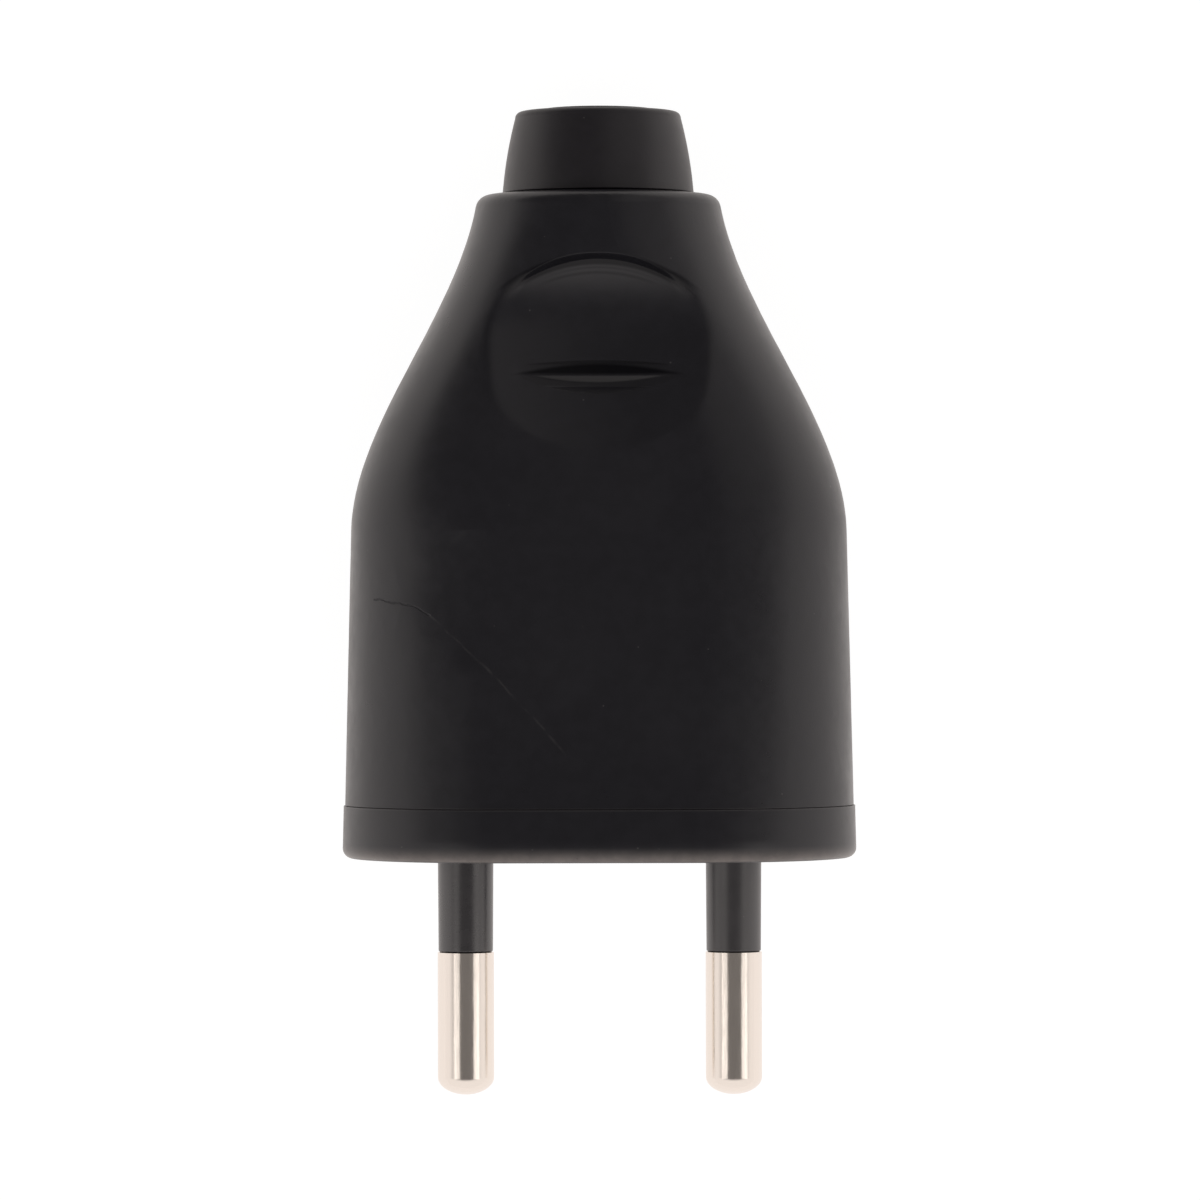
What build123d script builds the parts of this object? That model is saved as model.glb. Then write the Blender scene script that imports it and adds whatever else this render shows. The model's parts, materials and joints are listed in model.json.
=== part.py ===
from build123d import *
import math
import os

# Rewirable two-pin plug, in millimetres.
# Each piece is drawn upright: the pins point down, height 0 is the engagement face,
# X runs across the two pins and the front looks along -Y.
# The last step lays the plug on its flat back, with the front up.

# Pins
PIN_SPACING = 19.0
PIN_DIAMETER = 4.0
PIN_LENGTH = 16.8
PIN_DOME = 1.25
SLEEVE_LENGTH = 6.7
SLEEVE_DIAMETER = 3.86
SLEEVE_ROOT_DIAMETER = 3.94
SLEEVE_EDGE = 0.12
SHANK_DIAMETER = 3.0

# Brass terminals on the pins
TERMINAL_WIDTH = 6.2
TERMINAL_DEPTH = 6.0
TERMINAL_HEIGHT = 8.5
TERMINAL_CHAMFER = 0.4
TERMINAL_SEAT = 6.2
WIRE_HOLE_DIAMETER = 3.0
WIRE_HOLE_DEPTH = 7.0
TERMINAL_SCREW_DROP = 3.4
TERMINAL_SCREW_DIAMETER = 3.0
TERMINAL_SCREW_LENGTH = 2.9
TERMINAL_HEAD_DIAMETER = 5.2
TERMINAL_HEAD_HEIGHT = 1.7

# Body outline, seen from the front
BODY_HALF_WIDTH = 18.12
BODY_HALF_DEPTH = 11.5
NECK_HALF_WIDTH = 8.55
NECK_HALF_DEPTH = 8.0
TAPER_TOP = 23.15
TAPER_FALL = 0.55
SHOULDER_HEIGHT = 46.95
SHOULDER_BEND = 7.8
NECK_BEND = 8.2
NECK_SLOPE = 0.14
OUTLINE_SECTIONS = 6

# Hood
WALL = 1.8
SHOULDER_RADIUS = 1.0
SEAM_CHAMFER = 0.04
CHAMBER_TOP = 28.5
THROAT_MIDDLE = 36.0
THROAT_MIDDLE_HALF_WIDTH = 9.0
THROAT_MIDDLE_HALF_DEPTH = 5.2
THROAT_TOP = 42.4
THROAT_TOP_HALF_WIDTH = 5.3
THROAT_TOP_HALF_DEPTH = 4.9
NECK_ROOF = 2.5
WEB_HALF_WIDTH = 3.4
WEB_BOTTOM = 14.0
WEB_HEIGHT = 9.0

# Thumb recess, on the front and on the back: a hollow under a steep arched wall,
# and a narrow notch that makes a ledge across its floor
RECESS_HEIGHT = 42.6
RECESS_ARCH_RADIUS = 11.4
RECESS_DEPTH = 1.87
RECESS_DROP = 4.4
RECESS_CURVE_RADIUS = 7.9
RECESS_FALL = 12.0
RECESS_CROWN_RADIUS = 40.0
LEDGE_HEIGHT = 35.85
LEDGE_ARCH_RADIUS = 26.0
LEDGE_DEPTH = 2.05
LEDGE_DROP = 1.4
LEDGE_CURVE_RADIUS = 0.8
LEDGE_FALL = 40.0
LEDGE_CROWN_RADIUS = 12.6
HOLLOW_WALL_ANGLE = 25.0
HOLLOW_CURVE_TOP = 40.0

# Pin carrier
FLANGE_HEIGHT = 3.7
FLANGE_PROUD = 0.1
FLANGE_EDGE_RADIUS = 0.7
SPIGOT_HEIGHT = 2.4
SPIGOT_WALL = 1.6
SPIGOT_FLOOR = 4.6
TOWER_WALL = 1.4
TOWER_TOP_DROP = 0.8
BOSS_DIAMETER = 6.8
PRONG_WIDTH = 2.6
PRONG_DEPTH = 4.4
PRONG_CENTRE = 12.2
BRACE_THICKNESS = 1.4

# Housing screw and its captive nut
SCREW_DIAMETER = 3.0
SCREW_HEAD_DIAMETER = 5.6
SCREW_HEAD_HEIGHT = 1.9
SCREW_RECESS_DEPTH = 2.4
SCREW_LENGTH = 18.5
NUT_WIDTH = 5.5
NUT_HEIGHT = 2.0
NUT_LIFT = 2.6
DRIVE_WIDTH = 0.7
DRIVE_DEPTH = 0.9

# Cord bush and cord grip jaws
CORD_BORE_DIAMETER = 6.8
BUSH_FLANGE_DIAMETER = 10.8
BUSH_FLANGE_HEIGHT = 1.2
BUSH_SHANK_DIAMETER = 9.1
COLLAR_BASE_DIAMETER = 13.56
COLLAR_MIDDLE_DIAMETER = 12.92
COLLAR_TOP_DIAMETER = 11.76
COLLAR_HEIGHT = 5.9
COLLAR_GROOVE = 0.15
COLLAR_RIM_RADIUS = 0.45
LIP_DIAMETER = 8.0
LIP_HEIGHT = 0.18
JAW_CORD_DIAMETER = 6.0
JAW_GAP = 1.8
JAW_HALF_DEPTH = 4.6
JAW_TOOTH_PITCH = 1.5
JAW_TOOTH_DEPTH = 0.4

# Clearances between pieces
SLIDE_GAP = 0.04
SEAT_GAP = 0.1
LOOSE_GAP = 0.25

LEAN = math.degrees(math.atan2(BODY_HALF_DEPTH - NECK_HALF_DEPTH, SHOULDER_HEIGHT))
TAPER_HALF_WIDTH = BODY_HALF_WIDTH - TAPER_FALL
TAPER_SLOPE = -TAPER_FALL / TAPER_TOP
FAR = 4 * BODY_HALF_WIDTH


def outline_point(share):
    """Height and half width on the curved stretch, for a share of it from 0 to 1."""
    heights = (TAPER_TOP, TAPER_TOP + SHOULDER_BEND, SHOULDER_HEIGHT - NECK_BEND, SHOULDER_HEIGHT)
    widths = (
        TAPER_HALF_WIDTH,
        TAPER_HALF_WIDTH + TAPER_SLOPE * SHOULDER_BEND,
        NECK_HALF_WIDTH + NECK_SLOPE * NECK_BEND,
        NECK_HALF_WIDTH,
    )
    rest = 1 - share
    weights = (rest**3, 3 * rest**2 * share, 3 * rest * share**2, share**3)
    height = sum(weight * value for weight, value in zip(weights, heights))
    width = sum(weight * value for weight, value in zip(weights, widths))
    return height, width


def half_width(height):
    """Half the body's width at a height: a straight taper, then the curved stretch."""
    if height <= TAPER_TOP:
        return BODY_HALF_WIDTH + TAPER_SLOPE * height
    low, high = 0.0, 1.0
    while high - low > 1e-9:
        middle = (low + high) / 2
        if outline_point(middle)[0] < height:
            low = middle
        else:
            high = middle
    return outline_point(low)[1]


def half_depth(height):
    """Half the body's depth at a height: the front and the back are flat."""
    return BODY_HALF_DEPTH - (BODY_HALF_DEPTH - NECK_HALF_DEPTH) * height / SHOULDER_HEIGHT


def section(height, wide, deep):
    """A flat section with round ends."""
    return Plane.XY.offset(height) * SlotOverall(2 * wide, 2 * deep)


def body_section(height, inset=0.0):
    """The body's section at a height, drawn in by an inset."""
    return section(height, half_width(height) - inset, half_depth(height) - inset)


def box_between(low, high):
    """A box from its lowest to its highest corner."""
    size = [upper - lower for lower, upper in zip(low, high)]
    return Pos(*low) * Box(*size, align=(Align.MIN, Align.MIN, Align.MIN))


def upright(radius, bottom, top):
    """A round bar on the plug's axis between two heights."""
    return Pos(0, 0, bottom) * Cylinder(radius, top - bottom, align=(Align.CENTER, Align.CENTER, Align.MIN))


def throat(gap):
    """The narrowing passage above the hood's chamber, drawn in by a gap."""
    start = section(CHAMBER_TOP, half_width(CHAMBER_TOP) - WALL - gap, half_depth(CHAMBER_TOP) - WALL - gap)
    middle = section(THROAT_MIDDLE, THROAT_MIDDLE_HALF_WIDTH - gap, THROAT_MIDDLE_HALF_DEPTH - gap)
    end = section(THROAT_TOP, THROAT_TOP_HALF_WIDTH - gap, THROAT_TOP_HALF_DEPTH - gap)
    return loft([start, middle, end], ruled=True)


def body_between(bottom, inset=0.0):
    """The body from a height up to its shoulder: straight to the end of the taper, then curved."""
    straight = loft([body_section(bottom, inset), body_section(TAPER_TOP, inset)], ruled=True)
    heights = [outline_point(index / OUTLINE_SECTIONS)[0] for index in range(OUTLINE_SECTIONS + 1)]
    return straight + loft([body_section(height, inset) for height in heights])


def turned_hollow(height, drop, depth, curve_radius, fall, crown_radius):
    """A barrel for the floor of a hollow in a flat face: a curve, then a straight run out to the pins."""
    top_angle = math.radians(HOLLOW_CURVE_TOP)
    fall_angle = math.radians(fall)
    centre_y = depth - curve_radius
    centre_z = height - drop
    top_y = centre_y + curve_radius * math.cos(top_angle)
    top_z = centre_z + curve_radius * math.sin(top_angle)
    low_y = centre_y + curve_radius * math.cos(fall_angle)
    low_z = centre_z - curve_radius * math.sin(fall_angle)
    reach = crown_radius / 2
    with BuildPart() as barrel:
        with BuildSketch(Plane.YZ):
            with BuildLine():
                Polyline(
                    (low_y, low_z),
                    (-reach, low_z - (low_y + reach) / math.tan(fall_angle)),
                    (-crown_radius, low_z - (low_y + reach) / math.tan(fall_angle)),
                    (-crown_radius, top_z + (top_y + reach) / math.tan(top_angle)),
                    (-reach, top_z + (top_y + reach) / math.tan(top_angle)),
                    (top_y, top_z),
                )
                ThreePointArc((top_y, top_z), (depth, centre_z), (low_y, low_z))
            make_face()
        revolve(axis=Axis((0, -crown_radius, 0), (0, 0, 1)))
    return barrel.part


def arched_hollow(height, arch_radius, barrel):
    """The part of a barrel that lies under a steep arched wall."""
    spread = math.tan(math.radians(HOLLOW_WALL_ANGLE))
    arch = Cone(arch_radius, 0, arch_radius / spread, align=(Align.CENTER, Align.CENTER, Align.MIN))
    arch += Cylinder(arch_radius, arch_radius, align=(Align.CENTER, Align.CENTER, Align.MAX))
    return barrel & (Pos(0, 0, height - arch_radius) * Rot(-90, 0, 0) * arch)


def thumb_recess():
    """The two cuts of the recess, laid on the flat front."""
    hollow = turned_hollow(
        RECESS_HEIGHT,
        RECESS_DROP,
        RECESS_DEPTH,
        RECESS_CURVE_RADIUS,
        RECESS_FALL,
        RECESS_CROWN_RADIUS,
    )
    ledge = turned_hollow(
        LEDGE_HEIGHT, LEDGE_DROP, LEDGE_DEPTH, LEDGE_CURVE_RADIUS, LEDGE_FALL, LEDGE_CROWN_RADIUS
    )
    hollow = arched_hollow(RECESS_HEIGHT, RECESS_ARCH_RADIUS, hollow)
    ledge = arched_hollow(LEDGE_HEIGHT, LEDGE_ARCH_RADIUS, ledge)
    place = Pos(0, -BODY_HALF_DEPTH, 0) * Rot(-LEAN, 0, 0)
    return place * hollow, place * ledge


def make_hood():
    outer = body_between(FLANGE_HEIGHT)
    outer = fillet(outer.edges().group_by(Axis.Z)[-1], SHOULDER_RADIUS)
    outer = chamfer(outer.edges().group_by(Axis.Z)[0], SEAM_CHAMFER)
    for turn in (0, 180):
        for cut in thumb_recess():
            outer -= Rot(0, 0, turn) * cut
    chamber = loft(
        [body_section(FLANGE_HEIGHT, WALL), body_section(TAPER_TOP, WALL), body_section(CHAMBER_TOP, WALL)],
        ruled=True,
    )
    roof = SHOULDER_HEIGHT - NECK_ROOF
    bore = BUSH_SHANK_DIAMETER / 2 + SLIDE_GAP
    pocket = BUSH_FLANGE_DIAMETER / 2 + SEAT_GAP
    hollow = chamber + throat(0) + upright(pocket, THROAT_TOP, roof) + upright(bore, roof, SHOULDER_HEIGHT)
    web_top = WEB_BOTTOM + WEB_HEIGHT
    reach = half_depth(web_top) - WALL / 2
    web = box_between((-WEB_HALF_WIDTH, -reach, WEB_BOTTOM), (WEB_HALF_WIDTH, reach, web_top))
    web -= upright(SCREW_DIAMETER / 2 + SEAT_GAP, WEB_BOTTOM, web_top - WALL)
    nut_half = NUT_WIDTH / 2 + SEAT_GAP
    slot_bottom = WEB_BOTTOM + NUT_LIFT
    slot_top = slot_bottom + NUT_HEIGHT + SEAT_GAP
    web -= box_between((-nut_half, -nut_half, slot_bottom), (WEB_HALF_WIDTH, nut_half, slot_top))
    return outer - hollow + web


def make_carrier():
    base = loft([body_section(0, -FLANGE_PROUD), body_section(FLANGE_HEIGHT, -FLANGE_PROUD)])
    base = fillet(base.edges().group_by(Axis.Z)[0], FLANGE_EDGE_RADIUS)
    spigot_top = FLANGE_HEIGHT + SPIGOT_HEIGHT
    inset = WALL + SEAT_GAP
    spigot = extrude(body_section(spigot_top, inset), FLANGE_HEIGHT - spigot_top)
    inset += SPIGOT_WALL
    spigot -= extrude(body_section(spigot_top, inset), SPIGOT_FLOOR - spigot_top)
    carrier = base + spigot
    carrier += upright(BOSS_DIAMETER / 2, FLANGE_HEIGHT, WEB_BOTTOM)
    tower_top = TERMINAL_SEAT + TERMINAL_HEIGHT - TOWER_TOP_DROP
    pocket_x = TERMINAL_WIDTH / 2 + SEAT_GAP
    pocket_y = TERMINAL_DEPTH / 2 + SEAT_GAP
    tower_x = pocket_x + TOWER_WALL
    tower_y = pocket_y + TOWER_WALL
    window = TERMINAL_HEAD_DIAMETER / 2 + LOOSE_GAP
    screw_height = TERMINAL_SEAT + TERMINAL_HEIGHT - TERMINAL_SCREW_DROP
    for side in (-1, 1):
        tower = box_between((-tower_x, -tower_y, FLANGE_HEIGHT), (tower_x, tower_y, tower_top))
        tower -= box_between((-pocket_x, -pocket_y, TERMINAL_SEAT), (pocket_x, pocket_y, tower_top))
        sill = screw_height - window
        tower -= box_between((-window, -tower_y, sill), (window, 0, tower_top))
        carrier += Pos(side * PIN_SPACING / 2, 0, 0) * tower
        prong_x = side * PRONG_CENTRE
        half_prong = PRONG_WIDTH / 2
        step_bottom = TERMINAL_SEAT + TERMINAL_HEIGHT + LOOSE_GAP
        step_top = step_bottom + PRONG_WIDTH
        prong = box_between(
            (prong_x - half_prong, pocket_y, FLANGE_HEIGHT),
            (prong_x + half_prong, tower_y, step_top),
        )
        prong += box_between(
            (prong_x - half_prong, -PRONG_DEPTH / 2, step_bottom),
            (prong_x + half_prong, tower_y, step_top),
        )
        prong += box_between(
            (prong_x - half_prong, -PRONG_DEPTH / 2, step_bottom),
            (prong_x + half_prong, PRONG_DEPTH / 2, CHAMBER_TOP),
        )
        carrier += prong
        half_brace = BRACE_THICKNESS / 2
        inner = side * BOSS_DIAMETER / 4
        outer = side * (PIN_SPACING / 2 - pocket_x - TOWER_WALL / 2)
        carrier += box_between(
            (min(inner, outer), -half_brace, FLANGE_HEIGHT), (max(inner, outer), half_brace, TERMINAL_SEAT)
        )
    for side in (-1, 1):
        hole = upright(SLEEVE_ROOT_DIAMETER / 2 + SLIDE_GAP, 0, FLANGE_HEIGHT)
        hole += upright(SHANK_DIAMETER / 2 + SLIDE_GAP, 0, TERMINAL_SEAT)
        carrier -= Pos(side * PIN_SPACING / 2, 0, 0) * hole
    carrier -= upright(SCREW_HEAD_DIAMETER / 2 + LOOSE_GAP, 0, SCREW_RECESS_DEPTH)
    carrier -= upright(SCREW_DIAMETER / 2 + SEAT_GAP, 0, WEB_BOTTOM)
    return carrier


def make_pin():
    """A turned brass pin with its square terminal, on its own axis."""
    bare_bottom = -PIN_LENGTH
    dome_top = bare_bottom + PIN_DOME
    radius = PIN_DIAMETER / 2
    shank = SHANK_DIAMETER / 2
    with BuildPart() as turned:
        with BuildSketch(Plane.XZ):
            with BuildLine():
                EllipticalCenterArc((0, dome_top), radius, PIN_DOME, start_angle=270, arc_size=90)
                Polyline(
                    (radius, dome_top),
                    (radius, -SLEEVE_LENGTH),
                    (shank, -SLEEVE_LENGTH),
                    (shank, TERMINAL_SEAT),
                    (0, TERMINAL_SEAT),
                    (0, bare_bottom),
                )
            make_face()
        revolve(axis=Axis.Z)
    terminal = Pos(0, 0, TERMINAL_SEAT) * Box(
        TERMINAL_WIDTH,
        TERMINAL_DEPTH,
        TERMINAL_HEIGHT,
        align=(Align.CENTER, Align.CENTER, Align.MIN),
    )
    terminal = chamfer(terminal.edges().group_by(Axis.Z)[-1], TERMINAL_CHAMFER)
    terminal_top = TERMINAL_SEAT + TERMINAL_HEIGHT
    terminal -= upright(WIRE_HOLE_DIAMETER / 2, terminal_top - WIRE_HOLE_DEPTH, terminal_top)
    screw_hole = Cylinder(TERMINAL_SCREW_DIAMETER / 2 + SLIDE_GAP, TERMINAL_DEPTH / 2)
    screw_hole = Rot(90, 0, 0) * screw_hole
    screw_height = terminal_top - TERMINAL_SCREW_DROP
    terminal -= Pos(0, -TERMINAL_DEPTH / 4, screw_height) * screw_hole
    return turned.part + terminal


def make_sleeve():
    """The insulating sleeve round the upper half of a pin, on the pin's axis."""
    outer = Pos(0, 0, -SLEEVE_LENGTH) * Cone(
        SLEEVE_DIAMETER / 2,
        SLEEVE_ROOT_DIAMETER / 2,
        SLEEVE_LENGTH,
        align=(Align.CENTER, Align.CENTER, Align.MIN),
    )
    outer = chamfer(outer.edges().group_by(Axis.Z)[0], SLEEVE_EDGE)
    outer += upright(SLEEVE_ROOT_DIAMETER / 2, 0, FLANGE_HEIGHT)
    return outer - upright(SHANK_DIAMETER / 2 + SLIDE_GAP, -SLEEVE_LENGTH, FLANGE_HEIGHT)


def make_screw(diameter, length, head_diameter, head_height):
    """A slotted screw that points up, with the underside of its head at height 0."""
    screw = upright(diameter / 2, 0, length)
    screw = chamfer(screw.edges().group_by(Axis.Z)[-1], diameter / 8)
    head = upright(head_diameter / 2, -head_height, 0)
    head = chamfer(head.edges().group_by(Axis.Z)[0], head_height / 6)
    half_slot = DRIVE_WIDTH / 2
    slot = box_between(
        (-head_diameter, -half_slot, -head_height), (head_diameter, half_slot, DRIVE_DEPTH - head_height)
    )
    return screw + (head - slot)


def make_terminal_screw():
    screw = make_screw(
        TERMINAL_SCREW_DIAMETER, TERMINAL_SCREW_LENGTH, TERMINAL_HEAD_DIAMETER, TERMINAL_HEAD_HEIGHT
    )
    height = TERMINAL_SEAT + TERMINAL_HEIGHT - TERMINAL_SCREW_DROP
    return Pos(0, -TERMINAL_DEPTH / 2, height) * Rot(-90, 0, 0) * screw


def make_housing_screw():
    screw = make_screw(SCREW_DIAMETER, SCREW_LENGTH, SCREW_HEAD_DIAMETER, SCREW_HEAD_HEIGHT)
    return Pos(0, 0, SCREW_RECESS_DEPTH) * screw


def make_housing_nut():
    nut = Box(NUT_WIDTH, NUT_WIDTH, NUT_HEIGHT, align=(Align.CENTER, Align.CENTER, Align.MIN))
    nut -= upright(SCREW_DIAMETER / 2 + SLIDE_GAP, 0, NUT_HEIGHT)
    return Pos(0, 0, WEB_BOTTOM + NUT_LIFT) * nut


def make_cord_bush():
    """The turned form of the cord outlet: a collar, a shank through the hood and a flange inside."""
    roof = SHOULDER_HEIGHT - NECK_ROOF
    top = SHOULDER_HEIGHT + COLLAR_HEIGHT
    rim = COLLAR_TOP_DIAMETER / 2
    base = COLLAR_BASE_DIAMETER / 2
    side_top = top - COLLAR_RIM_RADIUS
    side_middle = (SHOULDER_HEIGHT + side_top) / 2
    with BuildPart() as bush:
        with BuildSketch(Plane.XZ):
            with BuildLine():
                Polyline(
                    (rim - COLLAR_RIM_RADIUS, top),
                    (LIP_DIAMETER / 2, top),
                    (LIP_DIAMETER / 2 - LIP_HEIGHT / 2, top + LIP_HEIGHT),
                    (CORD_BORE_DIAMETER / 2, top + LIP_HEIGHT),
                    (CORD_BORE_DIAMETER / 2, roof - BUSH_FLANGE_HEIGHT),
                    (BUSH_FLANGE_DIAMETER / 2, roof - BUSH_FLANGE_HEIGHT),
                    (BUSH_FLANGE_DIAMETER / 2, roof),
                    (BUSH_SHANK_DIAMETER / 2, roof),
                    (BUSH_SHANK_DIAMETER / 2, SHOULDER_HEIGHT),
                    (base - COLLAR_GROOVE, SHOULDER_HEIGHT),
                    (base, SHOULDER_HEIGHT + COLLAR_GROOVE),
                )
                ThreePointArc(
                    (base, SHOULDER_HEIGHT + COLLAR_GROOVE),
                    (COLLAR_MIDDLE_DIAMETER / 2, side_middle),
                    (rim, side_top),
                )
                ThreePointArc(
                    (rim, side_top),
                    (
                        rim - COLLAR_RIM_RADIUS * (1 - math.sqrt(0.5)),
                        side_top + COLLAR_RIM_RADIUS * math.sqrt(0.5),
                    ),
                    (rim - COLLAR_RIM_RADIUS, top),
                )
            make_face()
        revolve(axis=Axis.Z)
    return bush.part


def make_grip_jaw():
    """The right-hand jaw of the cord grip, a wedge between the cord and the throat."""
    wedge = throat(LOOSE_GAP)
    wedge &= box_between((JAW_GAP / 2, -JAW_HALF_DEPTH, CHAMBER_TOP), (FAR, JAW_HALF_DEPTH, THROAT_MIDDLE))
    wedge -= upright(JAW_CORD_DIAMETER / 2, CHAMBER_TOP, THROAT_MIDDLE)
    teeth = int((THROAT_MIDDLE - CHAMBER_TOP) / JAW_TOOTH_PITCH)
    for index in range(teeth):
        bottom = CHAMBER_TOP + index * JAW_TOOTH_PITCH
        groove = Pos(0, 0, bottom) * Cone(
            JAW_CORD_DIAMETER / 2 + JAW_TOOTH_DEPTH,
            JAW_CORD_DIAMETER / 2,
            JAW_TOOTH_PITCH,
            align=(Align.CENTER, Align.CENTER, Align.MIN),
        )
        wedge -= groove
    return wedge


def lay_down(piece):
    """Lay an upright piece on the plug's flat back, with the front up and the cord end at +Y."""
    return Rot(-90 - LEAN, 0, 0) * piece


pieces = {
    "hood": make_hood(),
    "pin_carrier": make_carrier(),
    "housing_screw": make_housing_screw(),
    "housing_nut": make_housing_nut(),
    "cord_bush": make_cord_bush(),
}
jaw = make_grip_jaw()
for name, side in (("left", -1), ("right", 1)):
    place = Pos(side * PIN_SPACING / 2, 0, 0)
    pieces[f"{name}_pin"] = place * make_pin()
    pieces[f"{name}_pin_sleeve"] = place * make_sleeve()
    pieces[f"{name}_terminal_screw"] = place * make_terminal_screw()
    pieces[f"{name}_cord_grip_jaw"] = jaw if side > 0 else Rot(0, 0, 180) * jaw

os.makedirs("parts", exist_ok=True)
for name, piece in pieces.items():
    export_step(lay_down(piece), f"parts/{name}.step")
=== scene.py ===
import json
import math

import bpy
from mathutils import Matrix, Vector


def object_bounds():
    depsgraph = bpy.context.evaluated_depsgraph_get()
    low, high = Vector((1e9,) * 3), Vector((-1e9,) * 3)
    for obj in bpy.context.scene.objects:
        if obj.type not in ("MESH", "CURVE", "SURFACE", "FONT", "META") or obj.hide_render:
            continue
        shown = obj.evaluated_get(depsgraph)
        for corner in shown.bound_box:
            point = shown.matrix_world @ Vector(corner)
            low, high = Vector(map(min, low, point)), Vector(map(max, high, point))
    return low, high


MM = 0.001
WHITE = (1.0, 1.0, 1.0, 1.0)

# The photograph's view, in millimetres on the plug and pixels of the 1200 pixel frame
PHOTO_PIXELS = 1200
PIXELS_PER_MM = 14.1
VIEW_DISTANCE = 480 * MM
VIEW_HEIGHT = 18.25 * MM
VIEW_SIDE = 0.07 * MM
VIEW_ROLL = -0.12
SENSOR = 36.0
CLIP_START = 0.01
CLIP_END = 20.0

# The floor, which looks white and scatters light as a pale card does
FLOOR_SIZE = 3.0
FLOOR_COLOUR = (0.86, 0.86, 0.86, 1.0)
FLOOR_GLOW = 0.82
FLOOR_WHITE = 1.16

# The sky: dark round one way, with angles in degrees, and brighter to one side towards the cord's end
SKY_COLOUR = (1.0, 0.94, 0.91, 1.0)
SKY_DARK = 0.175
SKY_BRIGHT = 1.0
SKY_DARK_ANGLE = 55
SKY_BRIGHT_ANGLE = 78
SKY_LEAN = 44
SIDE_GLOW = 0.32
SIDE_GLOW_ASIDE = (0.04, 0.28)
SIDE_GLOW_ALONG = (0.1, 0.35)

# The soft lamps: places and aim on the plug in millimetres, and sizes in metres along the plug and across it
LAMP_PLACES = ((-258, -55, 331), (290, -55, 303))
LAMP_AIM = (0, -12, 0)
LAMP_SIZE = (0.08, 0.18)
LAMP_RADIANCE = 1.1
LAMP_COLOUR = (1.0, 0.95, 0.91)

# Colours and roughness of the finishes
BLACK = (0.0092, 0.0092, 0.0136, 1.0)
BUSH_BLACK = (0.0112, 0.0098, 0.0136, 1.0)
GRIP_GREY = (0.05, 0.05, 0.05, 1.0)
SLEEVE_BLACK = (0.036, 0.034, 0.038, 1.0)
NICKEL = (0.85, 0.79, 0.73, 1.0)
ZINC = (0.62, 0.62, 0.6, 1.0)
BODY_ROUGHNESS = 0.32
BUSH_ROUGHNESS = 0.40
GRIP_ROUGHNESS = 0.5
SLEEVE_ROUGHNESS = 0.30
NICKEL_ROUGHNESS = (0.14, 0.22)
ZINC_ROUGHNESS = (0.25, 0.42)
PLAIN_SHEEN = 0.5
SLEEVE_SHEEN = 1.0

# Grain, gloss and dust. Scales and cells are counts in a millimetre, and a speck is a share of its cell
NOISE_MOST = (0.3, 0.7)
NOISE_MIDDLE = (0.35, 0.65)
SLOW_SCALE = 0.12
MOTTLE_SCALE = 0.9
GRAIN_SCALE = 9.0
GRAIN_HEIGHT = 0.004 * MM
GLOSS_DRIFT = (-0.03, 0.04)
GLOSS_MOTTLE = (-0.02, 0.02)
MOTTLE_SHADE = 0.88
MOTTLE_RELIEF = 0.8
EDGE_RADIUS = 0.12 * MM
EDGE_SAMPLES = 8
# Pale colour of the dust specks, also used for the painted highlight along the scratch
DUST_AND_HIGHLIGHT_COLOUR = (0.8, 0.78, 0.75, 1.0)
DUST_CELLS = 0.8
DUST_SIZE = 0.055
DUST_SHARE = 0.3
DUST_COVER = 0.05
SMALLEST_SPECK = 0.4
DRAWN_STRETCH = (6.0, 0.25, 6.0)
DRAWN_SCALE = 3.0
DRAWN_HEIGHT = 0.003 * MM
DRAWN_STRENGTH = 0.4
ZINC_CLOUDS = 1.2

# The seam between carrier and hood, with painted light: paler than the body so that its shade stays faint
SEAM_HEIGHT = 3.7
SEAM_REACH = (0.06, 0.14)
SEAM_PAINTED_LIGHT = (0.025, 0.024, 0.028, 1.0)

# The carrier's lower edge, rounded, with a painted highlight along it
FOOT_RADIUS = 1.9 * MM
FOOT_ROUND = (1.3, 2.6)
FOOT_PAINTED_HIGHLIGHT = (0.155, 0.138, 0.130, 1.0)
FOOT_HIGHLIGHT_HEIGHT = 1.15
FOOT_HIGHLIGHT_LEAN = (0.8, 0.97)
FOOT_HIGHLIGHT_PATCHES = (0.75, 1.0)

# A scratch on the front and the line of painted highlight that runs on from it, in millimetres across the
# plug and up it, from end to end
FRONT_START = (0.0, 2.0)
DARK_SCRATCH = ((-15.7, 18.3), (-13.9, 18.1), (-12.85, 17.75), (-11.8, 17.25))
SCRATCH_PAINTED_HIGHLIGHT = ((-11.8, 17.25), (-7.6, 13.3), (-2.3, 7.6))
DARK_WIDTH = 0.09
HIGHLIGHT_LINE_WIDTH = 0.10
LINE_CORE = 0.3
DRIFT_SCALE = 0.7
DRIFT = 0.5
PATCH_SCALE = 0.8
PATCHES = (0.35, 0.6)
HIGHLIGHT_LINE_COVER = 0.022
DARK_ROUGHNESS = 0.3
DARK_RELIEF = -14.0

# Where the recess's sides and foot blend softly into the body, in millimetres across the plug and up it
RECESS_SIDES = (4.2, 6.2)
RECESS_LOW = (28.0, 31.0)
RECESS_START = (24.0, 26.0)
RECESS_END = (43.5, 45.0)
RECESS_RADIUS = 1.1 * MM

# The painted shade under the recess's ledge, in millimetres up the plug, with the glint below it
LEDGE_TOP = 34.75
LEDGE_FOOT = 34.03
LEDGE_CURVE = 0.0225
LEDGE_SOFT = 0.15
GLINT_TOP = LEDGE_FOOT - 0.06
GLINT_FOOT = 33.42
GLINT_CURVE = 0.022
GLINT_SOFT = 0.13
GLINT_TILT = 0.26
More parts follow.
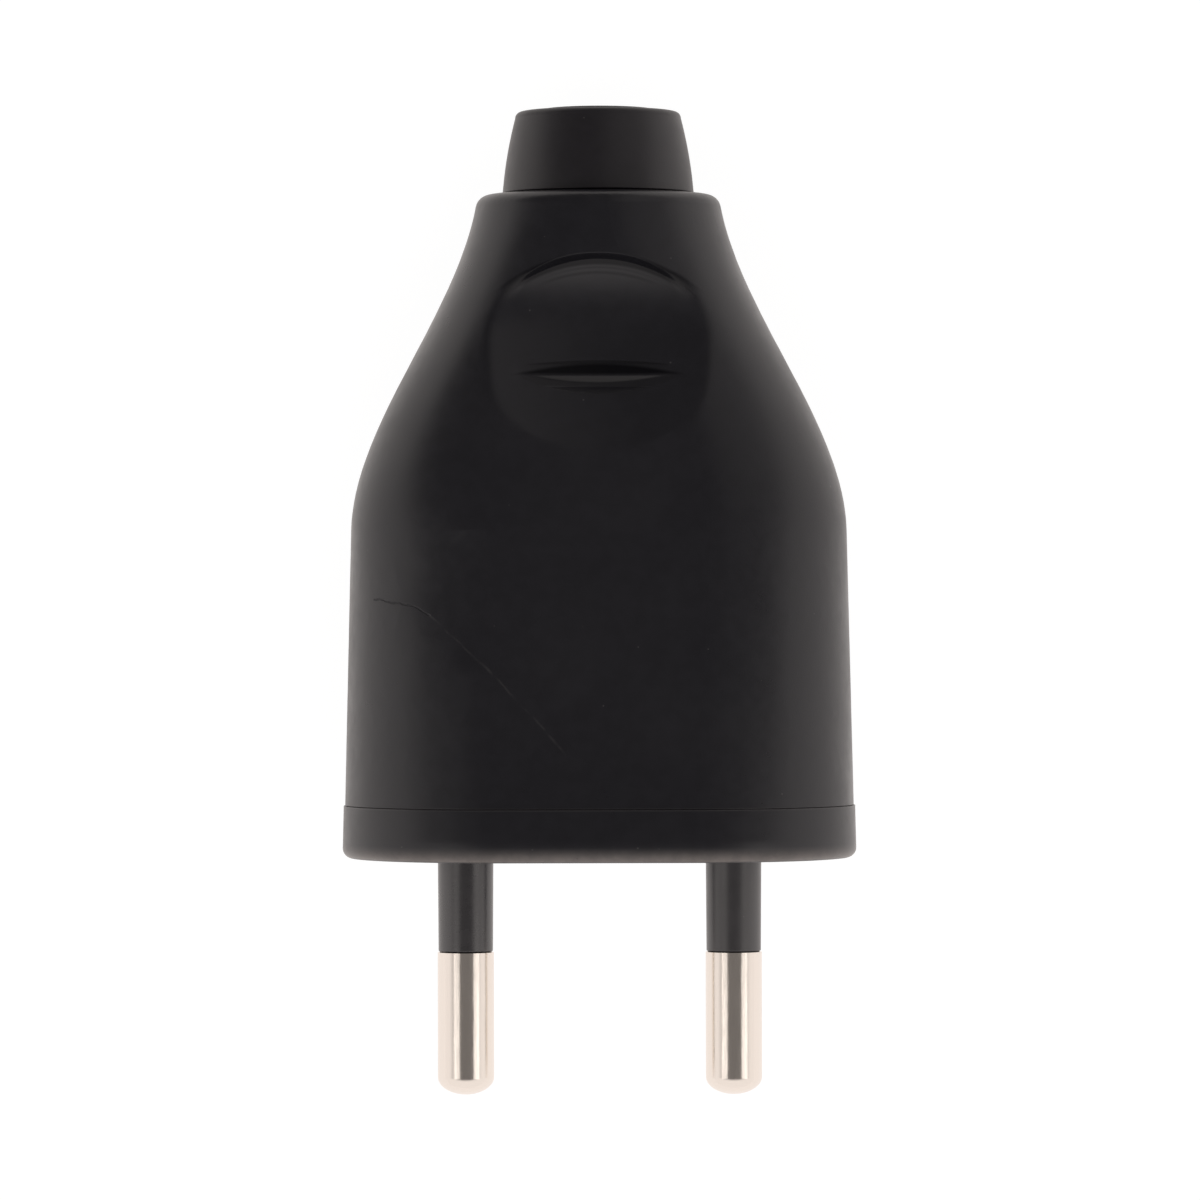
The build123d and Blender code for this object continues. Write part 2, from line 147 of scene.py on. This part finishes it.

# The arcs under the recess's rim, of painted shade with the glint between: how far inside it each begins and
# ends, and how soft its edges are
RIM_TOP = 42.6
RIM_RADIUS = 11.4
RIM_CENTRE = RIM_TOP - RIM_RADIUS
RIM_SHADE = (0.14, 0.92, 0.12)
RIM_GLINT = (1.02, 1.2, 0.08)
RIM_CREASE = (1.36, 1.56, 0.1)
RIM_SHADE_RISE = (8.2, 9.8)
RIM_GLINT_RISE = (8.8, 9.8)
RIM_SHADE_SHARE = 0.7
RIM_CREASE_SHARE = 0.35
# How far the painted shade in the recess darkens the colour towards black, and how much sheen it takes away
PAINTED_SHADE_COVER = 0.6
PAINTED_SHADE_SHEEN = -0.36

# The floor of the recess round the ledge, hollow across the plug and falling along it
LEVEL_TOP = LEDGE_TOP + 0.3
LEVEL_FOOT = GLINT_FOOT - 0.25
LEVEL_SOFT = 0.1
LEVEL_ENDS = (5.2, 6.2)
FLOOR_CROWN = 40.0
FLOOR_FALL = 0.2


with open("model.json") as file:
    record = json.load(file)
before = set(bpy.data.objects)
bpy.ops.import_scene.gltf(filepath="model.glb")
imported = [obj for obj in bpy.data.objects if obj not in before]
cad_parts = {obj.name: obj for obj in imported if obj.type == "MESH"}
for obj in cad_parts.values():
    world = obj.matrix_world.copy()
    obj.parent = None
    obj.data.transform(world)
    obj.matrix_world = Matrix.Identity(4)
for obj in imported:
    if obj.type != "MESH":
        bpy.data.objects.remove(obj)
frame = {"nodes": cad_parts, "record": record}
cad_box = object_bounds()

mounts = {mount["name"]: mount for mount in frame["record"]["mounts"]}
plug_axis = -Vector(mounts["engagement_face"]["axis"]).normalized()
across = Vector((1, 0, 0))
front = across.cross(plug_axis)


def on_plug(side, height, out):
    """A point in the shared frame from its side, its height up the axis and its way out of the front."""
    return across * side + plug_axis * height + front * out


class Nodes:
    """A short way to add and join shader nodes."""

    def __init__(self, tree):
        self.tree = tree
        tree.nodes.clear()

    def add(self, kind, inputs=None, **settings):
        node = self.tree.nodes.new(kind)
        for name, value in settings.items():
            setattr(node, name, value)
        for name, value in (inputs or {}).items():
            self.feed(node.inputs[name], value)
        return node

    def feed(self, socket, value):
        if isinstance(value, bpy.types.NodeSocket):
            self.tree.links.new(value, socket)
        else:
            socket.default_value = value

    def maths(self, operation, *values):
        node = self.add("ShaderNodeMath", operation=operation)
        for socket, value in zip(node.inputs, values):
            self.feed(socket, value)
        return node.outputs[0]

    def times(self, first, *others):
        product = first
        for other in others:
            product = self.maths("MULTIPLY", product, other)
        return product

    def size_of(self, value):
        return self.maths("ABSOLUTE", value)

    def spread(self, value, ends, to_low=0.0, to_high=1.0):
        """One value below the first end and another above the second, with a smooth change between."""
        low, high = ends
        inputs = {"Value": value, "From Min": low, "From Max": high, "To Min": to_low, "To Max": to_high}
        return self.add("ShaderNodeMapRange", inputs, interpolation_type="SMOOTHSTEP").outputs[0]

    def fall(self, value, ends):
        return self.spread(value, ends, 1.0, 0.0)

    def blend(self, factor, low, high):
        node = self.add("ShaderNodeMix", data_type="RGBA")
        self.feed(node.inputs[0], factor)
        self.feed(node.inputs[6], low)
        self.feed(node.inputs[7], high)
        return node.outputs[2]

    def vector(self, operation, first, second=None):
        node = self.add("ShaderNodeVectorMath", operation=operation)
        self.feed(node.inputs[0], first)
        if second is not None:
            self.feed(node.inputs[1], second)
        return node

    def along(self, vector, direction):
        return self.vector("DOT_PRODUCT", vector, tuple(direction)).outputs["Value"]

    def bend(self, normal, target, factor):
        """The surface's direction, turned towards a target by that share."""
        node = self.add("ShaderNodeMix", data_type="VECTOR")
        self.feed(node.inputs[0], factor)
        self.feed(node.inputs[4], normal)
        self.feed(node.inputs[5], target)
        return self.vector("NORMALIZE", node.outputs[1]).outputs[0]

    def noise(self, vector, scale, detail=2.0, roughness=0.5):
        inputs = {"Vector": vector, "Scale": scale, "Detail": detail, "Roughness": roughness}
        return self.add("ShaderNodeTexNoise", inputs).outputs[0]

    def line(self, side, height, start, end, width):
        """1 on the line between two points of the plug's front, 0 away from it."""
        run = (end[0] - start[0], end[1] - start[1])
        length = math.hypot(*run)
        unit = (run[0] / length, run[1] / length)
        off_x = self.maths("SUBTRACT", side, start[0])
        off_y = self.maths("SUBTRACT", height, start[1])
        along = self.maths("MULTIPLY_ADD", off_x, unit[0], self.maths("MULTIPLY", off_y, unit[1]))
        along = self.maths("MINIMUM", self.maths("MAXIMUM", along, 0.0), length)
        off_x = self.maths("MULTIPLY_ADD", along, -unit[0], off_x)
        off_y = self.maths("MULTIPLY_ADD", along, -unit[1], off_y)
        squares = self.maths("MULTIPLY_ADD", off_x, off_x, self.maths("MULTIPLY", off_y, off_y))
        return self.fall(self.maths("SQRT", squares), (LINE_CORE * width, width))

    def scratch(self, side, height, points, width):
        """1 on a line through the points, 0 away from it."""
        whole = 0.0
        for start, end in zip(points, points[1:]):
            whole = self.maths("MAXIMUM", whole, self.line(side, height, start, end, width))
        return whole

    def band(self, value, top, foot, soft):
        """1 between two heights, 0 above and below them."""
        above = self.fall(self.maths("SUBTRACT", value, top), (-soft, soft))
        below = self.spread(self.maths("SUBTRACT", value, foot), (-soft, soft))
        return self.times(above, below)

    def dust(self, place):
        """Small specks, each in a cell of its own and only in a share of the cells."""
        cell = self.add("ShaderNodeTexVoronoi", {"Vector": place, "Scale": DUST_CELLS, "Randomness": 1.0})
        pick = self.add("ShaderNodeSeparateColor", {"Color": cell.outputs["Color"]})
        chosen = self.maths("LESS_THAN", pick.outputs[0], DUST_SHARE)
        reach = self.spread(pick.outputs[1], (0.0, 1.0), SMALLEST_SPECK * DUST_SIZE, DUST_SIZE)
        near = self.maths("LESS_THAN", cell.outputs["Distance"], reach)
        return self.times(near, chosen)


def plug_coordinates(nodes):
    """The place on the plug in millimetres: side, height up the axis, and out of the front."""
    place = nodes.add("ShaderNodeTexCoord").outputs["Object"]
    parts = [nodes.along(place, direction / MM) for direction in (across, plug_axis, front)]
    vector = nodes.add("ShaderNodeCombineXYZ")
    for socket, part in zip(vector.inputs, parts):
        nodes.feed(socket, part)
    return vector.outputs[0], parts


def new_material(name):
    material = bpy.data.materials.new(name)
    material.use_nodes = True
    nodes = Nodes(material.node_tree)
    shader = nodes.add("ShaderNodeBsdfPrincipled")
    nodes.add("ShaderNodeOutputMaterial", {"Surface": shader.outputs[0]})
    return material, nodes, shader


class Plastic:
    """Satin moulded plastic: fine grain, slow changes of gloss and specks of dust."""

    def __init__(self, name, colour, roughness, sheen=PLAIN_SHEEN):
        self.material, self.nodes, self.shader = new_material(name)
        nodes = self.nodes
        self.place, (self.side, self.height, self.out) = plug_coordinates(nodes)
        self.sheen = sheen
        self.radius = EDGE_RADIUS
        self.bends = []
        slow = nodes.noise(self.place, SLOW_SCALE)
        self.mottle = nodes.noise(self.place, MOTTLE_SCALE, detail=4.0, roughness=0.6)
        drift = nodes.spread(slow, NOISE_MOST, *(roughness + part for part in GLOSS_DRIFT))
        self.rough = nodes.maths("ADD", drift, nodes.spread(self.mottle, NOISE_MOST, *GLOSS_MOTTLE))
        shade = tuple(MOTTLE_SHADE * part for part in colour[:3]) + (1.0,)
        self.base = nodes.blend(nodes.spread(self.mottle, NOISE_MIDDLE), shade, colour)
        self.base = nodes.blend(nodes.times(nodes.dust(self.place), DUST_COVER), self.base, DUST_AND_HIGHLIGHT_COLOUR)
        grain = nodes.noise(self.place, GRAIN_SCALE, detail=3.0)
        self.relief = nodes.maths("MULTIPLY_ADD", self.mottle, MOTTLE_RELIEF, grain)

    def paint_seam_light(self):
        """A narrow band of painted light on the seam's two edges, paler than the body so that the seam's
        shade stays faint.
        """
        off_seam = self.nodes.size_of(self.nodes.maths("SUBTRACT", self.height, SEAM_HEIGHT))
        self.base = self.nodes.blend(self.nodes.fall(off_seam, SEAM_REACH), self.base, SEAM_PAINTED_LIGHT)

    def paint_foot_highlight(self):
        """A rounded lower edge, with a patchy painted highlight along it except on the engagement face
        itself.
        """
        nodes = self.nodes
        self.radius = nodes.spread(self.height, FOOT_ROUND, FOOT_RADIUS, EDGE_RADIUS)
        normal = nodes.add("ShaderNodeNewGeometry").outputs["Normal"]
        edge = nodes.fall(nodes.size_of(nodes.along(normal, plug_axis)), FOOT_HIGHLIGHT_LEAN)
        low = nodes.fall(self.height, (0.0, FOOT_HIGHLIGHT_HEIGHT))
        patchy = nodes.spread(self.mottle, NOISE_MIDDLE, *FOOT_HIGHLIGHT_PATCHES)
        self.base = nodes.blend(nodes.times(low, edge, patchy), self.base, FOOT_PAINTED_HIGHLIGHT)

    def on_front(self, share):
        """That share on the front of the plug, and 0 on its back."""
        return self.nodes.times(share, self.nodes.spread(self.out, FRONT_START))

    def scratch_with_painted_highlight(self):
        """A dark scratch that runs on as a pale line of painted highlight, both a little uneven."""
        nodes = self.nodes
        drift = nodes.maths("MULTIPLY_ADD", nodes.noise(self.place, DRIFT_SCALE), DRIFT, -DRIFT / 2)
        drifted = nodes.maths("ADD", self.height, drift)
        dark = self.on_front(nodes.scratch(self.side, drifted, DARK_SCRATCH, DARK_WIDTH))
        pale = self.on_front(nodes.scratch(self.side, drifted, SCRATCH_PAINTED_HIGHLIGHT, HIGHLIGHT_LINE_WIDTH))
        patchy = nodes.spread(nodes.noise(self.place, PATCH_SCALE, detail=3.0), PATCHES)
        # Painted highlight: the pale line is blended towards the pale colour
        self.base = nodes.blend(nodes.times(pale, patchy, HIGHLIGHT_LINE_COVER), self.base, DUST_AND_HIGHLIGHT_COLOUR)
        self.rough = nodes.maths("MULTIPLY_ADD", dark, DARK_ROUGHNESS, self.rough)
        self.relief = nodes.maths("MULTIPLY_ADD", dark, DARK_RELIEF, self.relief)

    def blend_recess(self):
        """The recess's sides and foot blend softly into the body, and its walls keep their edges."""
        nodes = self.nodes
        aside = nodes.spread(nodes.size_of(self.side), RECESS_SIDES)
        low = nodes.fall(self.height, RECESS_LOW)
        soft = nodes.maths("MAXIMUM", aside, low)
        soft = nodes.times(soft, nodes.spread(self.height, RECESS_START), nodes.fall(self.height, RECESS_END))
        self.radius = nodes.spread(soft, (0.0, 1.0), self.radius, RECESS_RADIUS)

    def shade_ledge(self, squares):
        """The painted shade under the ledge, and the moulding below it, which catches the light."""
        nodes = self.nodes
        top = nodes.maths("MULTIPLY_ADD", squares, -LEDGE_CURVE, LEDGE_TOP)
        foot = nodes.maths("MULTIPLY_ADD", squares, GLINT_CURVE, GLINT_FOOT)
        dark = nodes.band(self.height, top, LEDGE_FOOT, LEDGE_SOFT)
        bright = nodes.band(self.height, GLINT_TOP, foot, GLINT_SOFT)
        return dark, bright

    def shade_rim(self, squares):
        """The arcs of painted shade under the rim, and the bright one between them."""
        nodes = self.nodes
        rise = nodes.maths("SUBTRACT", self.height, RIM_CENTRE)
        reach = nodes.maths("SQRT", nodes.maths("MULTIPLY_ADD", rise, rise, squares))
        shade, glint, crease = (
            nodes.band(reach, RIM_RADIUS - start, RIM_RADIUS - end, soft)
            for start, end, soft in (RIM_SHADE, RIM_GLINT, RIM_CREASE)
        )
        upper = nodes.spread(rise, RIM_GLINT_RISE)
        shade = nodes.times(shade, nodes.spread(rise, RIM_SHADE_RISE, 0.0, RIM_SHADE_SHARE))
        crease = nodes.times(crease, upper, RIM_CREASE_SHARE)
        return nodes.maths("MAXIMUM", shade, crease), nodes.times(glint, upper)

    def shade_recess(self):
        """Painted shade, a darker colour and less sheen, where the recess's slots keep the light out, and
        where the moulding beside them catches it.
        """
        nodes = self.nodes
        squares = nodes.times(self.side, self.side)
        ledge, rim = self.shade_ledge(squares), self.shade_rim(squares)
        painted_shade, glint = (self.on_front(nodes.maths("MAXIMUM", *pair)) for pair in zip(ledge, rim))
        # Painted shade: darker colour and less sheen in the slots
        self.base = nodes.blend(nodes.times(painted_shade, PAINTED_SHADE_COVER), self.base, (0.0, 0.0, 0.0, 1.0))
        self.sheen = nodes.maths("MULTIPLY_ADD", painted_shade, PAINTED_SHADE_SHEEN, PLAIN_SHEEN)
        level = nodes.band(self.height, LEVEL_TOP, LEVEL_FOOT, LEVEL_SOFT)
        level = self.on_front(nodes.times(level, nodes.fall(nodes.size_of(self.side), LEVEL_ENDS)))
        hollow = nodes.vector("SCALE", tuple(across / -FLOOR_CROWN))
        nodes.feed(hollow.inputs["Scale"], self.side)
        floor = nodes.vector("ADD", hollow.outputs[0], tuple(front + FLOOR_FALL * plug_axis))
        self.bends.append((floor.outputs[0], level))
        self.bends.append((tuple((front - GLINT_TILT * plug_axis).normalized()), glint))

    def finish(self):
        """Joins everything to the shader. Edges are softened as a mould leaves them."""
        nodes = self.nodes
        inputs = self.shader.inputs
        nodes.feed(inputs["Base Color"], self.base)
        nodes.feed(inputs["Roughness"], self.rough)
        nodes.feed(inputs["Specular IOR Level"], self.sheen)
        edge = nodes.add("ShaderNodeBevel", {"Radius": self.radius}, samples=EDGE_SAMPLES)
        surface = edge.outputs[0]
        for target, share in self.bends:
            surface = nodes.bend(surface, target, share)
        bump = {"Strength": 1.0, "Distance": GRAIN_HEIGHT, "Height": self.relief, "Normal": surface}
        nodes.feed(inputs["Normal"], nodes.add("ShaderNodeBump", bump).outputs[0])
        return self.material


def hood_plastic():
    plastic = Plastic("hood_plastic", BLACK, BODY_ROUGHNESS)
    plastic.paint_seam_light()
    plastic.scratch_with_painted_highlight()
    plastic.blend_recess()
    plastic.shade_recess()
    return plastic.finish()


def carrier_plastic():
    plastic = Plastic("carrier_plastic", BLACK, BODY_ROUGHNESS)
    plastic.paint_seam_light()
    plastic.paint_foot_highlight()
    return plastic.finish()


def bush_plastic():
    return Plastic("bush_plastic", BUSH_BLACK, BUSH_ROUGHNESS).finish()


def grip_plastic():
    return Plastic("grip_plastic", GRIP_GREY, GRIP_ROUGHNESS).finish()


def sleeve_plastic():
    return Plastic("sleeve_plastic", SLEEVE_BLACK, SLEEVE_ROUGHNESS, SLEEVE_SHEEN).finish()


def nickel_plate():
    """Bright nickel plate with fine marks along the pin."""
    material, nodes, shader = new_material("nickel_plate")
    place, _ = plug_coordinates(nodes)
    nodes.feed(shader.inputs["Base Color"], NICKEL)
    nodes.feed(shader.inputs["Metallic"], 1.0)
    drawn = nodes.add("ShaderNodeMapping", {"Vector": place, "Scale": DRAWN_STRETCH})
    lines = nodes.noise(drawn.outputs[0], DRAWN_SCALE, detail=3.0)
    nodes.feed(shader.inputs["Roughness"], nodes.spread(lines, NOISE_MOST, *NICKEL_ROUGHNESS))
    bump = {"Strength": DRAWN_STRENGTH, "Distance": DRAWN_HEIGHT, "Height": lines}
    nodes.feed(shader.inputs["Normal"], nodes.add("ShaderNodeBump", bump).outputs[0])
    return material


def zinc_plate():
    """Zinc plated steel with a cloudy finish."""
    material, nodes, shader = new_material("zinc_plate")
    place, _ = plug_coordinates(nodes)
    nodes.feed(shader.inputs["Base Color"], ZINC)
    nodes.feed(shader.inputs["Metallic"], 1.0)
    cloud = nodes.noise(place, ZINC_CLOUDS, detail=4.0)
    nodes.feed(shader.inputs["Roughness"], nodes.spread(cloud, NOISE_MOST, *ZINC_ROUGHNESS))
    return material


# Which nodes of the part take each finish
FINISHES = (
    (hood_plastic, ("hood",)),
    (carrier_plastic, ("pin_carrier",)),
    (bush_plastic, ("cord_bush",)),
    (grip_plastic, ("left_cord_grip_jaw", "right_cord_grip_jaw")),
    (sleeve_plastic, ("left_pin_sleeve", "right_pin_sleeve")),
    (nickel_plate, ("left_pin", "right_pin")),
    (zinc_plate, ("left_terminal_screw", "right_terminal_screw", "housing_screw", "housing_nut")),
)
for make_finish, names in FINISHES:
    finish = make_finish()
    for name in names:
        materials = frame["nodes"][name].data.materials
        materials.clear()
        materials.append(finish)


def add_floor():
    """A pale floor under the plug. It looks white, and it keeps the plug's soft shadow."""
    half = FLOOR_SIZE / 2
    level = cad_box[0].z
    corners = [(-half, -half, level), (half, -half, level), (half, half, level), (-half, half, level)]
    mesh = bpy.data.meshes.new("floor")
    mesh.from_pydata(corners, [], [(0, 1, 2, 3)])
    floor = bpy.data.objects.new("floor", mesh)
    bpy.context.scene.collection.objects.link(floor)
    material = bpy.data.materials.new("floor")
    material.use_nodes = True
    nodes = Nodes(material.node_tree)
    rays = nodes.add("ShaderNodeLightPath").outputs
    seen = nodes.maths("MAXIMUM", rays["Is Camera Ray"], rays["Is Glossy Ray"])
    seen = nodes.maths("MAXIMUM", seen, rays["Is Transmission Ray"])
    pale = nodes.add("ShaderNodeBsdfDiffuse", {"Color": FLOOR_COLOUR})
    tone = nodes.blend(rays["Is Camera Ray"], SKY_COLOUR, WHITE)
    white = nodes.add("ShaderNodeEmission", {"Color": tone, "Strength": FLOOR_WHITE})
    share = nodes.times(seen, FLOOR_GLOW)
    mix = nodes.add("ShaderNodeMixShader", {0: share, 1: pale.outputs[0], 2: white.outputs[0]})
    nodes.add("ShaderNodeOutputMaterial", {"Surface": mix.outputs[0]})
    mesh.materials.append(material)


def add_sky():
    """Soft light from low all round, dark overhead as where a camera stands. The camera sees it white."""
    world = bpy.data.worlds.new("studio")
    bpy.context.scene.world = world
    world.use_nodes = True
    nodes = Nodes(world.node_tree)
    direction = nodes.add("ShaderNodeTexCoord").outputs["Generated"]
    lean = math.radians(SKY_LEAN)
    dark_way = front * math.cos(lean) + plug_axis * math.sin(lean)
    ends = [math.cos(math.radians(angle)) for angle in (SKY_BRIGHT_ANGLE, SKY_DARK_ANGLE)]
    level = nodes.spread(nodes.along(direction, dark_way), ends, SKY_BRIGHT, SKY_DARK)
    aside = nodes.spread(nodes.along(direction, across), SIDE_GLOW_ASIDE, 0.0, SIDE_GLOW)
    towards_cord = nodes.spread(nodes.along(direction, plug_axis), SIDE_GLOW_ALONG)
    level = nodes.maths("ADD", level, nodes.times(aside, towards_cord))
    level = nodes.maths("MINIMUM", level, SKY_BRIGHT)
    camera_ray = nodes.add("ShaderNodeLightPath").outputs["Is Camera Ray"]
    level = nodes.maths("MAXIMUM", level, camera_ray)
    colour = nodes.blend(camera_ray, SKY_COLOUR, WHITE)
    sky = nodes.add("ShaderNodeBackground", {"Color": colour, "Strength": level})
    nodes.add("ShaderNodeOutputWorld", {"Surface": sky.outputs[0]})


def add_softbox(place):
    """A soft rectangular lamp, as bright as a card of its radiance."""
    place, aim = (on_plug(*(part * MM for part in point)) for point in (place, LAMP_AIM))
    lamp = bpy.data.lights.new("side_softbox", "AREA")
    lamp.shape = "RECTANGLE"
    lamp.size, lamp.size_y = LAMP_SIZE
    lamp.energy = LAMP_RADIANCE * math.pi * lamp.size * lamp.size_y
    lamp.color = LAMP_COLOUR
    softbox = bpy.data.objects.new("side_softbox", lamp)
    softbox.location = place
    softbox.rotation_mode = "QUATERNION"
    softbox.rotation_quaternion = (aim - place).to_track_quat("-Z", "Y")
    bpy.context.scene.collection.objects.link(softbox)


def add_camera():
    """The photograph's camera, square on to the plug's front."""
    lens = bpy.data.cameras.new("camera")
    lens.sensor_width = SENSOR
    lens.sensor_fit = "HORIZONTAL"
    lens.lens = SENSOR * VIEW_DISTANCE / (PHOTO_PIXELS / PIXELS_PER_MM * MM)
    lens.clip_start = CLIP_START
    lens.clip_end = CLIP_END
    camera = bpy.data.objects.new("camera", lens)
    turn = Matrix((across, plug_axis, front)).transposed()
    turn = turn @ Matrix.Rotation(math.radians(VIEW_ROLL), 3, "Z")
    place = on_plug(VIEW_SIDE, VIEW_HEIGHT, VIEW_DISTANCE)
    camera.matrix_world = Matrix.Translation(place) @ turn.to_4x4()
    bpy.context.scene.collection.objects.link(camera)
    bpy.context.scene.camera = camera


add_floor()
add_sky()
for lamp_place in LAMP_PLACES:
    add_softbox(lamp_place)
add_camera()

bpy.context.scene.view_settings.view_transform = "Standard"
